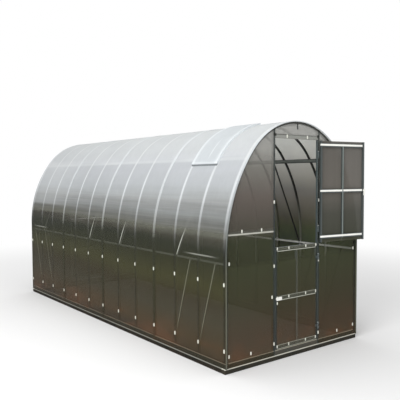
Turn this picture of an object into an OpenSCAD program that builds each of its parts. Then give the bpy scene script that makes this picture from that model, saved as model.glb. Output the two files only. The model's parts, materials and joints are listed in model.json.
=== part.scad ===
// Walk-in greenhouse: a base of beams, bent square-tube arches joined by
// purlins, flexible sheets laid over them from ground to ground, and two
// gables with a door in two leaves, one above the other.
// Millimetres. X runs across the building, +Y from the front gable to the
// back one, +Z up; the origin is on the ground, under the middle of the front.

/* [Building] */
// Width over the outside of the sheets
width = 2000; // [1800:10:2400]
// Length over the outside of the gable sheets
length = 5000; // [3600:10:7000]
// Height at which the straight walls turn into the roof
wall_height = 1160; // [1080:10:1240]
// How much smaller the crown radius of the roof is than half the width
crown_tuck = 175; // [140:5:260]
// How far the roof sheets reach past the gable sheets
sheet_overhang = 18; // [0:1:20]
// Number of sheets laid side by side over the arches
sheet_count = 4; // [3:1:6]
// Number of bays between arches under one sheet
bays_per_sheet = 3; // [2:1:4]

/* [Materials] */
// Thickness of the glazing sheets
sheet = 4; // [3:0.5:8]
// Side of the square tube of the end arches and gable posts
arch_tube = 25; // [20:1:32]
// Side of the square tube of the arches between the ends
rib_tube = 20; // [16:1:28]
// Side of the square tube of the ridge and eave purlins, and depth of the roof purlins
purlin_tube = 20; // [16:1:28]
// Width of the roof purlins, where they lie against the arches
roof_purlin_width = 40; // [20:2:44]
// Side of the square tube of the braces
brace_tube = 16; // [10:1:18]
// Thickness of the strips that cover the sheet joints
strip_thickness = 2; // [1:0.5:4]
// Width of the strips that cover the sheet joints
strip_width = 46; // [30:1:60]

/* [Base] */
// Height of the base beams
base_height = 50; // [40:1:100]
// Ledge that the base shows outside the sheets
base_ledge = 7; // [0:1:20]
// Height of the lip along the top of the base beams
lip_height = 8; // [4:1:16]
// How far the lip stands out from the face of the base beams
lip_reach = 2; // [0:0.5:5]
// Height of the rail on top of the base beams
foot_rail_height = 50; // [30:1:60]

/* [Purlins and braces] */
// Height of the middle of the eave purlins
eave_purlin_z = 1058; // [1000:1:1070]
// Place of the roof purlins up the wall arc, as a share of it
roof_purlin_share = 0.924; // [0.8:0.002:0.94]
// How far along the wall a lower brace leans
lower_brace_run = 315; // [200:5:340]
// Distance of a lower brace's foot from its arch
lower_brace_set = 65; // [0:5:80]
// How far along the roof an upper brace leans, in bays
upper_brace_lean = 0.42; // [0.3:0.02:1]

/* [Gables] */
// Clear width of the doorway
door_width = 656; // [600:2:720]
// Clear height of the doorway above the foot rail
door_height = 2200; // [2150:5:2230]
// Height of the header above the doorway
header_height = 45; // [30:1:50]
// Height from the top of the header to the ridge
header_to_ridge = 142; // [120:1:220]
// Height of the middle of the bars beside the door
cross_bar_z = 1355; // [1300:1:1420]
// Height of the bars beside the door
cross_bar_height = 40; // [25:1:50]

/* [Door leaves] */
// Gap round a leaf in the doorway
leaf_gap = 10; // [8:1:14]
// Height of the lower leaf
lower_leaf_height = 1063; // [1000:1:1150]
// Side of the upright leaf tubes, and depth of all of them
leaf_tube = 20; // [16:1:24]
// Height of the level leaf rails
leaf_rail_height = 40; // [25:1:45]
// Distance of the end rails of the upper leaf from its top
top_lip = 25; // [0:1:40]
// Distance of the end rails of the upper leaf from its foot
foot_lip = 40; // [0:1:60]
// Angle at which the upper leaf stands open
upper_leaf_angle = 171; // [0:1:178]
// Angle at which the lower leaf stands open
lower_leaf_angle = 0; // [0:1:178]

/* [Hinges and latches] */
// Distance of the hinge axis in front of the sheets
hinge_standoff = 12; // [12:0.5:16]
// Outer radius of the hinge knuckles
knuckle_r = 6; // [5.5:0.1:6.4]
// Radius of the hinge pins
pin_r = 3; // [2:0.1:4]
// Height of one hinge knuckle
knuckle_height = 22; // [16:1:30]
// Distance of each hinge from the end of its leaf
hinge_inset = 150; // [100:5:220]
// Length of the latch lever on the outside
lever_length = 74; // [50:1:90]

/* [Roof vent] */
// Distance of the vent's lower edge in from the outside of the wall
vent_setback = 246; // [220:1:300]
// Distance of the vent's upper edge from the middle of the building
vent_high_x = 130; // [80:1:300]
// Width of the vent's frame bars
vent_bar = 20; // [14:1:28]
// Height that the vent's frame stands above the roof
vent_rise = 12; // [8:1:40]

/* [Hidden] */
$fn = 48;
vault_fn = 240;
play = 0.05;
knuckle_gap = 0.5;
over = 1;
seam = 1;

bays = sheet_count * bays_per_sheet;
half_width = width / 2;
inner_half = half_width - sheet - arch_tube;
rib_half = half_width - sheet - rib_tube;
rail_half = rib_half - purlin_tube;
base_width = base_ledge + sheet + max(arch_tube, rib_tube) + purlin_tube;
rail_top = base_height + foot_rail_height;
arch_pitch = (length - 2 * sheet - arch_tube) / bays;
first_arch_y = sheet + arch_tube / 2;
gable_inner_y = sheet + arch_tube;

header_z = rail_top + door_height;
ridge_z = header_z + header_height + header_to_ridge;

// Three-arc roof: a crown arc between two wall arcs that start upright
roof_rise = ridge_z - wall_height;
crown_radius = half_width - crown_tuck;
side_radius = (half_width * half_width + roof_rise * roof_rise - 2 * roof_rise * crown_radius)
    / (2 * (half_width - crown_radius));
side_offset = side_radius - half_width;
crown_z = ridge_z - crown_radius;
blend_angle = atan2(crown_z - wall_height, side_offset);
roof_purlin_angle = roof_purlin_share * blend_angle;

door_half = door_width / 2;
leaf_half = door_half - leaf_gap;
lower_leaf_z = rail_top + leaf_gap;
lower_leaf_top = lower_leaf_z + lower_leaf_height;
upper_leaf_z = lower_leaf_top + leaf_gap;
upper_leaf_top = header_z - leaf_gap;
hinge_x = (door_half + leaf_half) / 2;
hinge_y = -hinge_standoff;
strap_thickness = 4;
strap_reach = 29;
strap_rise = 11;
lever_height = 34;
lever_thickness = 8;
lever_standoff = 10;
eave_z_low = eave_purlin_z - purlin_tube / 2;
eave_z_high = eave_purlin_z + purlin_tube / 2;

// ---------------------------------------------------------------- helpers

function arch_y(i) = first_arch_y + i * arch_pitch;

function tube_of(i) = i == 0 || i == bays ? arch_tube : rib_tube;

// Height at which the wall arc meets the crown arc, a distance inside the skin
function blend_z(inset) = wall_height + (side_radius - inset) * sin(blend_angle);

// Outline of the building's cross-section, a distance inside the skin
module vault(inset, floor_z = 0) {
    reach = half_width - inset;
    translate([-reach, floor_z]) square([2 * reach, wall_height - floor_z]);
    intersection() {
        translate([-side_offset, wall_height])
            circle(r = side_radius - inset, $fn = vault_fn);
        translate([side_offset, wall_height])
            circle(r = side_radius - inset, $fn = vault_fn);
        translate([-width, wall_height]) square([2 * width, blend_z(inset) - wall_height]);
    }
    intersection() {
        translate([0, crown_z]) circle(r = crown_radius - inset, $fn = vault_fn);
        translate([-width, blend_z(inset)]) square([2 * width, width]);
    }
}

// Band between two outlines of the vault, standing on floor_z
module vault_band(outer_inset, inner_inset, floor_z) {
    difference() {
        vault(outer_inset, floor_z);
        vault(inner_inset, floor_z - over);
    }
}

// Extrudes an X-Z outline along +Y from y
module along_y(y, depth) {
    translate([0, y + depth, 0]) rotate([90, 0, 0]) linear_extrude(depth) children();
}

// Box from a low corner to a high corner
module span(low, high) {
    translate(low) cube(high - low);
}

module both_sides() {
    children();
    mirror([1, 0, 0]) children();
}

module at_back() {
    translate([0, length, 0]) mirror([0, 1, 0]) children();
}

module both_gables() {
    children();
    at_back() children();
}

// Turns a leaf about the hinge axis
module swung(angle) {
    translate([hinge_x, hinge_y, 0]) rotate([0, 0, angle]) translate([-hinge_x, -hinge_y, 0])
        children();
}

// ------------------------------------------------------------------- base

base_half = half_width + base_ledge;
base_inner = base_half - base_width;

module base_ends() color("darkslategray") both_gables() {
    span([lip_reach - base_half, lip_reach - base_ledge, 0],
         [base_half - lip_reach, base_width - base_ledge, base_height]);
    span([-base_half, -base_ledge, base_height - lip_height],
         [base_half, base_width - base_ledge, base_height]);
}

module base_sides() color("darkslategray") both_sides() {
    y_low = base_width - base_ledge;
    y_high = length + base_ledge - base_width;
    span([base_inner, y_low, 0], [base_half - lip_reach, y_high, base_height]);
    span([base_inner, y_low, base_height - lip_height], [base_half, y_high, base_height]);
}

module foot_rails_ends() color("slategray") both_gables()
    span([-inner_half, sheet, base_height], [inner_half, gable_inner_y, rail_top]);

module foot_rails_sides() color("slategray") both_sides()
    span([rail_half, gable_inner_y, base_height],
         [rib_half, length - gable_inner_y, rail_top]);

// ------------------------------------------------------------------ arches

module arch(i) color("darkslategray")
    along_y(arch_y(i) - tube_of(i) / 2, tube_of(i))
        vault_band(sheet, sheet + tube_of(i), base_height);

// --------------------------------------------------------------- lengthways

module eave_purlins() color("slategray") both_sides()
    span([rail_half, gable_inner_y, eave_z_low],
         [rib_half, length - gable_inner_y, eave_z_high]);

// How far from the centre of an arc a purlin's outer face lies, just inside the arches
function purlin_reach(radius, face) =
    sqrt(pow(radius - sheet - rib_tube, 2) - pow(face / 2, 2)) - play;

// Tube lying flat against the inside of the arches, at an angle up the wall arc
module roof_purlins() color("slategray") both_sides()
    translate([-side_offset, gable_inner_y, wall_height]) rotate([0, -roof_purlin_angle, 0])
        translate([purlin_reach(side_radius, roof_purlin_width) - purlin_tube, 0,
                   -roof_purlin_width / 2])
            cube([purlin_tube, length - 2 * gable_inner_y, roof_purlin_width]);

module ridge_purlin() color("slategray") {
    top_z = crown_z + purlin_reach(crown_radius, purlin_tube);
    span([-purlin_tube / 2, gable_inner_y, top_z - purlin_tube],
         [purlin_tube / 2, length - gable_inner_y, top_z]);
}

// Straight bar between two points, square in section
module bar(from, to, side) {
    run = to - from;
    reach = norm(run);
    turn = atan2(run[1], run[0]);
    lean = acos(run[2] / reach);
    translate(from) rotate([0, lean, turn])
        translate([-side / 2, -side / 2, 0]) cube([side, side, reach]);
}

// Diagonal in the wall, from the foot rail up to the eave purlin
module lower_brace(foot_y, lean) {
    middle = rail_half + purlin_tube / 2;
    intersection() {
        bar([middle, foot_y, base_height], [middle, foot_y + lean, eave_purlin_z], brace_tube);
        span([0, -length, rail_top], [width, 2 * length, eave_z_low]);
    }
}

// Diagonal in the roof, from the eave purlin up to the roof purlin
module upper_brace(foot_y, lean) {
    head_y = foot_y + lean;
    foot_x = rib_half - purlin_tube / 2;
    head_r = side_radius - sheet - rib_tube - purlin_tube / 2;
    head_x = head_r * cos(roof_purlin_angle) - side_offset;
    head_z = wall_height + head_r * sin(roof_purlin_angle);
    difference() {
        bar([foot_x, foot_y, eave_purlin_z], [head_x, head_y, head_z], brace_tube);
        span([0, -over, 0], [width, length + over, eave_z_high]);
        translate([-side_offset, 0, wall_height]) rotate([0, -roof_purlin_angle, 0])
            translate([0, 0, -roof_purlin_width / 2])
                cube([width * 2, length, roof_purlin_width * 2]);
    }
}

// Braces of one long wall, for arches where a diagonal starts
module wall_braces(roof_starts, direction) {
    for (i = [1, 2]) {
        lower_brace(arch_y(i) + lower_brace_set, -lower_brace_run);
        lower_brace(arch_y(bays - i) - lower_brace_set, lower_brace_run);
    }
    for (i = roof_starts) upper_brace(arch_y(i), direction * upper_brace_lean * arch_pitch);
}

module braces_left() color("slategray") mirror([1, 0, 0])
    wall_braces([2, 5, 7, bays - 1], -1);

module braces_right() color("slategray")
    wall_braces([2, 5, 7, bays - 3], 1);

// ------------------------------------------------------------------ gables

// Keeps only what lies inside the gable's arch
module under_arch() {
    intersection() {
        children();
        along_y(-over, length + 2 * over) vault(sheet + arch_tube, base_height);
    }
}

module gable_posts() color("darkslategray") under_arch() both_gables() both_sides()
    span([door_half, sheet, rail_top], [door_half + arch_tube, gable_inner_y, ridge_z]);

module gable_headers() color("slategray") both_gables()
    span([-door_half, sheet, header_z], [door_half, gable_inner_y, header_z + header_height]);

module gable_cross_bars() color("slategray") under_arch() both_gables() both_sides()
    span([door_half + arch_tube, sheet, cross_bar_z - cross_bar_height / 2],
         [width, gable_inner_y, cross_bar_z + cross_bar_height / 2]);

// Gable glazing within an X-Z window, cut to the arch
module gable_sheet(low, high) {
    along_y(0, sheet) intersection() {
        vault(sheet, base_height);
        translate(low) square(high - low);
    }
}

module gable_side_sheet() gable_sheet([door_half, base_height], [width, ridge_z]);

module gable_top_sheet()
    gable_sheet([seam - door_half, header_z], [door_half - seam, ridge_z]);

module front_sheet_left() color("gainsboro", 0.5) mirror([1, 0, 0]) gable_side_sheet();

module front_sheet_right() color("gainsboro", 0.5) gable_side_sheet();

module front_sheet_top() color("gainsboro", 0.5) gable_top_sheet();

module back_sheets() color("gainsboro", 0.5) at_back() {
    both_sides() gable_side_sheet();
    gable_top_sheet();
}

// -------------------------------------------------------------- roof sheets

function sheet_start(i) = i == 1 ? -sheet_overhang : arch_y((i - 1) * bays_per_sheet);
function sheet_end(i) =
    i == sheet_count ? length + sheet_overhang : arch_y(i * bays_per_sheet);

vent_low_x = half_width - vent_setback;

module vent_hole() {
    span([-vent_low_x + vent_bar, arch_y(1) + rib_tube / 2, wall_height],
         [-vent_high_x - vent_bar, arch_y(2) - rib_tube / 2, ridge_z + over]);
}

module roof_sheet(i) color("gainsboro", 0.5) difference() {
    along_y(sheet_start(i), sheet_end(i) - sheet_start(i)) vault_band(0, sheet, base_height);
    if (i == 1) vent_hole();
}

module joint_strips() color("whitesmoke")
    for (i = [1 : sheet_count - 1])
        along_y(sheet_end(i) - strip_width / 2, strip_width)
            vault_band(-strip_thickness, 0, base_height);

// ---------------------------------------------------------------- roof vent

vent_y_low = arch_y(1) - vent_bar / 2;
vent_y_high = arch_y(2) + vent_bar / 2;

// Part of a band over the left slope between the vent's two edges
module vent_band(outer_inset, inner_inset, y_low, y_high, low_x, high_x) {
    along_y(y_low, y_high - y_low) intersection() {
        vault_band(outer_inset, inner_inset, base_height);
        translate([-low_x, wall_height]) square([low_x - high_x, 2 * roof_rise]);
    }
}

module vent_frame() color("slategray") difference() {
    vent_band(-vent_rise, 0, vent_y_low, vent_y_high, vent_low_x, vent_high_x);
    vent_band(-vent_rise - over, over, vent_y_low + vent_bar, vent_y_high - vent_bar,
              vent_low_x - vent_bar, vent_high_x + vent_bar);
}

module vent_pane() color("gainsboro", 0.5)
    vent_band(-vent_rise - sheet, -vent_rise, vent_y_low, vent_y_high, vent_low_x, vent_high_x);

// -------------------------------------------------------------- door leaves

// Closed leaf frame: two stiles, with three rails and an upright between them
module leaf_frame(z_low, z_high, foot, top) {
    y_low = sheet;
    y_high = sheet + leaf_tube;
    rails_low = z_low + foot;
    rails_high = z_high - top;
    rails_middle = (rails_low + rails_high) / 2;
    both_sides() span([leaf_half - leaf_tube, y_low, z_low], [leaf_half, y_high, z_high]);
    span([-leaf_tube / 2, y_low, rails_low], [leaf_tube / 2, y_high, rails_high]);
    for (z = [rails_low, rails_middle - leaf_rail_height / 2, rails_high - leaf_rail_height])
        span([-leaf_half, y_low, z], [leaf_half, y_high, z + leaf_rail_height]);
}

module leaf_sheet(z_low, z_high) span([-leaf_half, 0, z_low], [leaf_half, sheet, z_high]);

module lower_frame_closed() leaf_frame(lower_leaf_z, lower_leaf_top, 0, 0);
module upper_frame_closed() leaf_frame(upper_leaf_z, upper_leaf_top, foot_lip, top_lip);
module lower_sheet_closed() leaf_sheet(lower_leaf_z, lower_leaf_top);
module upper_sheet_closed() leaf_sheet(upper_leaf_z, upper_leaf_top);

module lower_leaf_frame() color("whitesmoke") swung(lower_leaf_angle) lower_frame_closed();

module upper_leaf_frame() color("whitesmoke") swung(upper_leaf_angle) upper_frame_closed();

module lower_leaf_sheet() color("gainsboro", 0.5) swung(lower_leaf_angle) lower_sheet_closed();

module upper_leaf_sheet() color("gainsboro", 0.5) swung(upper_leaf_angle) upper_sheet_closed();

// ------------------------------------------------------------------ hinges

// Cranked strap from the hinge axis to a foot screwed on the right-hand side
module hinge_strap(z) {
    translate([hinge_x, hinge_y, z]) difference() {
        linear_extrude(knuckle_height) {
            circle(r = knuckle_r);
            translate([0, -knuckle_r]) square([strap_rise + strap_thickness, strap_thickness]);
            translate([strap_rise, -knuckle_r])
                square([strap_thickness, hinge_standoff + knuckle_r]);
            translate([strap_rise, hinge_standoff - strap_thickness])
                square([strap_reach - strap_rise, strap_thickness]);
        }
        translate([0, 0, -over]) cylinder(r = pin_r + play, h = knuckle_height + 2 * over);
    }
}

module strap_on_leaf(z) {
    translate([2 * hinge_x, 0, 0]) mirror([1, 0, 0]) hinge_strap(z);
}

function hinge_levels(z_low, z_high) = [z_low + hinge_inset, z_high - hinge_inset];
lower_hinges = hinge_levels(lower_leaf_z, lower_leaf_top);
upper_hinges = hinge_levels(upper_leaf_z, upper_leaf_top);

module leaf_straps(levels) {
    for (z = levels) strap_on_leaf(z - knuckle_height / 2);
}

module post_straps(levels) {
    step = knuckle_height + knuckle_gap;
    for (z = levels, side = [-1, 1]) hinge_strap(z - knuckle_height / 2 + side * step);
}

// Pin through three knuckles, with a head on the top one
module pins(levels) {
    reach = 3 * knuckle_height + 2 * knuckle_gap;
    for (z = levels) translate([hinge_x, hinge_y, z - reach / 2]) {
        cylinder(r = pin_r, h = reach);
        translate([0, 0, reach]) cylinder(r = knuckle_r, h = strap_thickness);
    }
}

module post_hinges() color("gainsboro") {
    post_straps(lower_hinges);
    post_straps(upper_hinges);
}

module hinge_pins() color("gainsboro") {
    pins(lower_hinges);
    pins(upper_hinges);
}

module lower_leaf_hinges() color("gainsboro") swung(lower_leaf_angle) leaf_straps(lower_hinges);

module upper_leaf_hinges() color("gainsboro") swung(upper_leaf_angle) leaf_straps(upper_hinges);

// ----------------------------------------------------------------- latches

// Turn latch on the free stile: a lever outside and a grip inside
module latch(z) {
    stile_x = -leaf_half + leaf_tube / 2;
    front = -lever_standoff - lever_thickness;
    back = sheet + leaf_tube;
    translate([stile_x, 0, z]) rotate([90, 0, 0]) cylinder(r = leaf_tube / 2, h = lever_standoff);
    span([-leaf_half, front, z - lever_height / 2],
         [-leaf_half + lever_length, -lever_standoff, z + lever_height / 2]);
    translate([stile_x, back, z]) rotate([-90, 0, 0])
        cylinder(r = leaf_tube / 3, h = lever_standoff);
    span([stile_x - leaf_tube / 2, back + lever_standoff, z - lever_length + lever_height / 2],
         [stile_x + leaf_tube / 2, back + lever_standoff + lever_thickness, z + lever_height / 2]);
}

lower_latch_z = (lower_leaf_z + lower_leaf_top) / 2;
upper_latch_z = (upper_leaf_z + foot_lip + upper_leaf_top - top_lip) / 2;

module lower_latch() color("white") swung(lower_leaf_angle) latch(lower_latch_z);

module upper_latch() color("white") swung(upper_leaf_angle) latch(upper_latch_z);

// --------------------------------------------------------------- back door

module back_leaf_frames() color("whitesmoke") at_back() {
    lower_frame_closed();
    upper_frame_closed();
}

module back_leaf_sheets() color("gainsboro", 0.5) at_back() {
    lower_sheet_closed();
    upper_sheet_closed();
}

module back_door_fittings() color("gainsboro") at_back() {
    for (levels = [lower_hinges, upper_hinges]) {
        leaf_straps(levels);
        post_straps(levels);
        pins(levels);
    }
    latch(lower_latch_z);
    latch(upper_latch_z);
}

// ---------------------------------------------------------------- assembly

base_ends();
base_sides();
foot_rails_ends();
foot_rails_sides();
arch(0);  // front_arch
for (i = [1 : bays - 1]) arch(i);
arch(bays);  // back_arch
eave_purlins();
roof_purlins();
ridge_purlin();
braces_left();
braces_right();
gable_posts();
gable_headers();
gable_cross_bars();
for (i = [1 : sheet_count]) roof_sheet(i);
joint_strips();
front_sheet_left();
front_sheet_right();
front_sheet_top();
back_sheets();
vent_frame();
vent_pane();
lower_leaf_frame();
lower_leaf_sheet();
lower_leaf_hinges();
lower_latch();
upper_leaf_frame();
upper_leaf_sheet();
upper_leaf_hinges();
upper_latch();
post_hinges();
hinge_pins();
back_leaf_frames();
back_leaf_sheets();
back_door_fittings();
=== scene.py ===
"""Dresses a walk-in greenhouse: glazing, tubes, base, door furniture and fixings.

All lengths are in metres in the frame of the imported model: X runs across the
building, +Y from the front gable to the back one, and +Z up from the ground.
"""

import json
import logging
import math
from dataclasses import dataclass, replace
from enum import Enum
from typing import Iterable, Union

import bmesh
import bpy
from mathutils import Matrix, Vector


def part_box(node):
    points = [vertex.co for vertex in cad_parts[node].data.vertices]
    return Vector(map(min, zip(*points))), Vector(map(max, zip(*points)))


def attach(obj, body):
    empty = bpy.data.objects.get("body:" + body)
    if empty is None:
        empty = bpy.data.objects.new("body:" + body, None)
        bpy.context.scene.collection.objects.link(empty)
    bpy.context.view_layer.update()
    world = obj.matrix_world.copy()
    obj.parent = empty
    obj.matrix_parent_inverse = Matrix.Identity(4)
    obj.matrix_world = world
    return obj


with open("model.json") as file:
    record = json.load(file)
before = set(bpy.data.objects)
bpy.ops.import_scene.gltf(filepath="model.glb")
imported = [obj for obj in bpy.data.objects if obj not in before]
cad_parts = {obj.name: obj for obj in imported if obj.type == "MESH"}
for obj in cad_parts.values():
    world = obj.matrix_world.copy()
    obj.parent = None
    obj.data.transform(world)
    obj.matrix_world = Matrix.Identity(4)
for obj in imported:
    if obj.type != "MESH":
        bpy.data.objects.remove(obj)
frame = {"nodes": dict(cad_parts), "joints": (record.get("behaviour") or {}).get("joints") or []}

log = logging.getLogger("greenhouse")

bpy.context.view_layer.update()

Colour = tuple[float, float, float]
Point = tuple[float, float, float]
Tints = tuple[tuple[float, Colour], ...]
Levels = tuple[tuple[float, float], ...]


class Body(Enum):
    """The bodies that pieces ride on."""

    BUILDING = "root"
    LOWER_LEAF = "lower_leaf"
    UPPER_LEAF = "upper_leaf"


class Slot(Enum):
    """The record's material slots, by name."""

    DARK_FRAME = "dark_frame"
    STRIP = "strip"
    HARDWARE = "hardware"


class Axis(Enum):
    """The directions that patterns are measured along."""

    ACROSS = "from side to side"
    SIDE = "from the middle to either side"
    LENGTH = "from the front to the back"
    END = "from the nearer end inwards"
    HEIGHT = "from the ground up"
    LEAF = "from the hinge line outwards"
    RIM = "from the outside of the arches inwards"


def shade(code: str) -> Colour:
    """Turns a six-digit display colour into the linear values that shaders use.

    Args:
        code: Red, green and blue as two hexadecimal digits each.

    Returns:
        The linear colour.
    """
    parts = [int(code[i : i + 2], 16) / 255 for i in (0, 2, 4)]
    return tuple(p / 12.92 if p <= 0.04045 else ((p + 0.055) / 1.055) ** 2.4 for p in parts)


def tints(*shades: tuple[float, str]) -> Tints:
    """A table of colours by height, from heights with six-digit display colours."""
    return tuple((height, shade(code)) for height, code in shades)


def limits_of(joint: str) -> tuple[float, float]:
    """The lowest and highest angle of a joint, in degrees."""
    return next(each["range_deg"] for each in frame["joints"] if each["name"] == joint)


def low_of(node: str) -> Vector:
    """The lowest corner of a node of the frame."""
    return Vector(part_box(node)[0])


def high_of(node: str) -> Vector:
    """The highest corner of a node of the frame."""
    return Vector(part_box(node)[1])


def middle_of(node: str) -> Vector:
    """The middle of a node's box."""
    return (low_of(node) + high_of(node)) / 2


# ------------------------------------------------------------------ places


@dataclass(frozen=True)
class ArchRow:
    """The row of arches along the building, read from the frame."""

    first: float
    last: float
    end_tube: float
    tube: float
    bays: int = 12
    bays_per_sheet: int = 3

    @staticmethod
    def from_frame() -> "ArchRow":
        """Reads the row from the front and back arches.

        Returns:
            The row.
        """
        front, back = middle_of("front_arch").y, middle_of("back_arch").y
        tubes = (high_of(name).y - low_of(name).y for name in ("front_arch", "arch_1"))
        return ArchRow(front, back, *tubes)

    @property
    def pitch(self) -> float:
        """Distance from arch to arch."""
        return (self.last - self.first) / self.bays

    @property
    def middle(self) -> float:
        """Middle of the building's length."""
        return (self.first + self.last) / 2

    def place(self, number: int) -> float:
        """Where an arch stands along the building, counted from the front."""
        return self.first + number * self.pitch

    def joint(self, number: int) -> bool:
        """True if two roof sheets meet over an arch."""
        return number % self.bays_per_sheet == 0 and 0 < number < self.bays


@dataclass(frozen=True)
class Vault:
    """The building's three-arc cross-section, outside the sheets."""

    half_width: float
    ridge: float
    foot: float
    eave: float = 1.160
    crown_tuck: float = 0.175

    @staticmethod
    def from_frame() -> "Vault":
        """Reads the section's width and height from a roof sheet."""
        high = high_of("roof_sheet_2")
        return Vault(high.x, high.z, low_of("roof_sheet_2").z)

    @property
    def crown_radius(self) -> float:
        """Radius of the arc over the ridge."""
        return self.half_width - self.crown_tuck

    @property
    def crown_centre(self) -> float:
        """Height of the middle of the crown arc."""
        return self.ridge - self.crown_radius

    @property
    def side_radius(self) -> float:
        """Radius of the two wall arcs."""
        rise = self.ridge - self.eave
        return (self.half_width**2 + rise**2 - 2 * rise * self.crown_radius) / (2 * self.crown_tuck)

    @property
    def side_offset(self) -> float:
        """Distance of a wall arc's centre beyond the middle of the building."""
        return self.side_radius - self.half_width

    @property
    def blend_angle(self) -> float:
        """Angle up the wall arc at which the crown arc takes over."""
        return math.atan2(self.crown_centre - self.eave, self.side_offset)


@dataclass(frozen=True)
class LeafRails:
    """The three rails of a leaf, placed from its frame's box."""

    node: str
    foot: float = 0.0
    lip: float = 0.0
    width: float = 0.040

    def heights(self) -> list[float]:
        """Finds the middles of the rails.

        Returns:
            Their heights, from the lowest up.
        """
        low = low_of(self.node).z + self.foot + self.width / 2
        high = high_of(self.node).z - self.lip - self.width / 2
        return [low, (low + high) / 2, high]


@dataclass(frozen=True)
class WallBraces:
    """The lower braces behind the long walls, as lines in from the ends and up."""

    foot_set: float = 0.035
    foot_run: float = 0.315
    foot_height: float = 0.050

    def low_lines(self) -> list[tuple[tuple[float, float], tuple[float, float]]]:
        """Finds the ends of the lower braces.

        Returns:
            The foot and head of each, in from the nearer end and up.
        """
        eave = middle_of("eave_purlins").z
        feet = [number * ARCHES.pitch + self.foot_set for number in (1, 2)]
        return [((foot, self.foot_height), (foot - self.foot_run, eave)) for foot in feet]


ARCHES = ArchRow.from_frame()
VAULT = Vault.from_frame()
BRACES = WallBraces()
HINGE = middle_of("hinge_pins")
LOWER_RAILS = LeafRails("lower_leaf_frame")
UPPER_RAILS = LeafRails("upper_leaf_frame", foot=0.040, lip=0.025)
LEAF_MIDDLE = 0.323  # out from the hinge line
SHADE_TOP = 2.5  # the height at which the tables of shades end


# ------------------------------------------------------------ shader maths


class Wire:
    """A shader socket that takes part in Python expressions."""

    def __init__(self, sheet: "ShaderSheet", socket: bpy.types.NodeSocket) -> None:
        """Keeps the socket and the sheet that holds its node."""
        self.sheet = sheet
        self.socket = socket

    def _math(self, operation: str, *terms: "Term") -> "Wire":
        """Adds one Math node over the given terms."""
        return self.sheet.add("ShaderNodeMath", {"operation": operation}, dict(enumerate(terms)))

    def __add__(self, other: "Term") -> "Wire":
        """self + other."""
        return self._math("ADD", self, other)

    def __radd__(self, other: "Term") -> "Wire":
        """other + self."""
        return self._math("ADD", other, self)

    def __sub__(self, other: "Term") -> "Wire":
        """self - other."""
        return self._math("SUBTRACT", self, other)

    def __rsub__(self, other: "Term") -> "Wire":
        """other - self."""
        return self._math("SUBTRACT", other, self)

    def __mul__(self, other: "Term") -> "Wire":
        """self * other."""
        return self._math("MULTIPLY", self, other)

    def __rmul__(self, other: "Term") -> "Wire":
        """other * self."""
        return self._math("MULTIPLY", other, self)

    def __truediv__(self, other: "Term") -> "Wire":
        """self / other."""
        return self._math("DIVIDE", self, other)

    def __pow__(self, other: "Term") -> "Wire":
        """self ** other."""
        return self._math("POWER", self, other)

    def __abs__(self) -> "Wire":
        """The distance from zero."""
        return self._math("ABSOLUTE", self)

    def at_least(self, other: "Term") -> "Wire":
        """The greater of the two."""
        return self._math("MAXIMUM", self, other)

    def phase(self) -> "Wire":
        """The part after the decimal point."""
        return self._math("FRACT", self)

    def above(self, edge: "Term", soft: float) -> "Wire":
        """A mask that rises smoothly from 0 to 1 over a width of soft about edge.

        Args:
            edge: Where the mask is half.
            soft: The width of the rise.

        Returns:
            The mask.
        """
        inputs = {"Value": self - edge, "From Min": -soft / 2, "From Max": soft / 2}
        return self.sheet.add("ShaderNodeMapRange", {"interpolation_type": "SMOOTHSTEP"}, inputs)

    def within(self, middle: "Term", half: float, soft: float) -> "Wire":
        """A mask that is 1 closer to middle than half, with soft sides."""
        return 1 - abs(self - middle).above(half, soft)


Term = Union[Wire, float, int, Colour]


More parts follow.
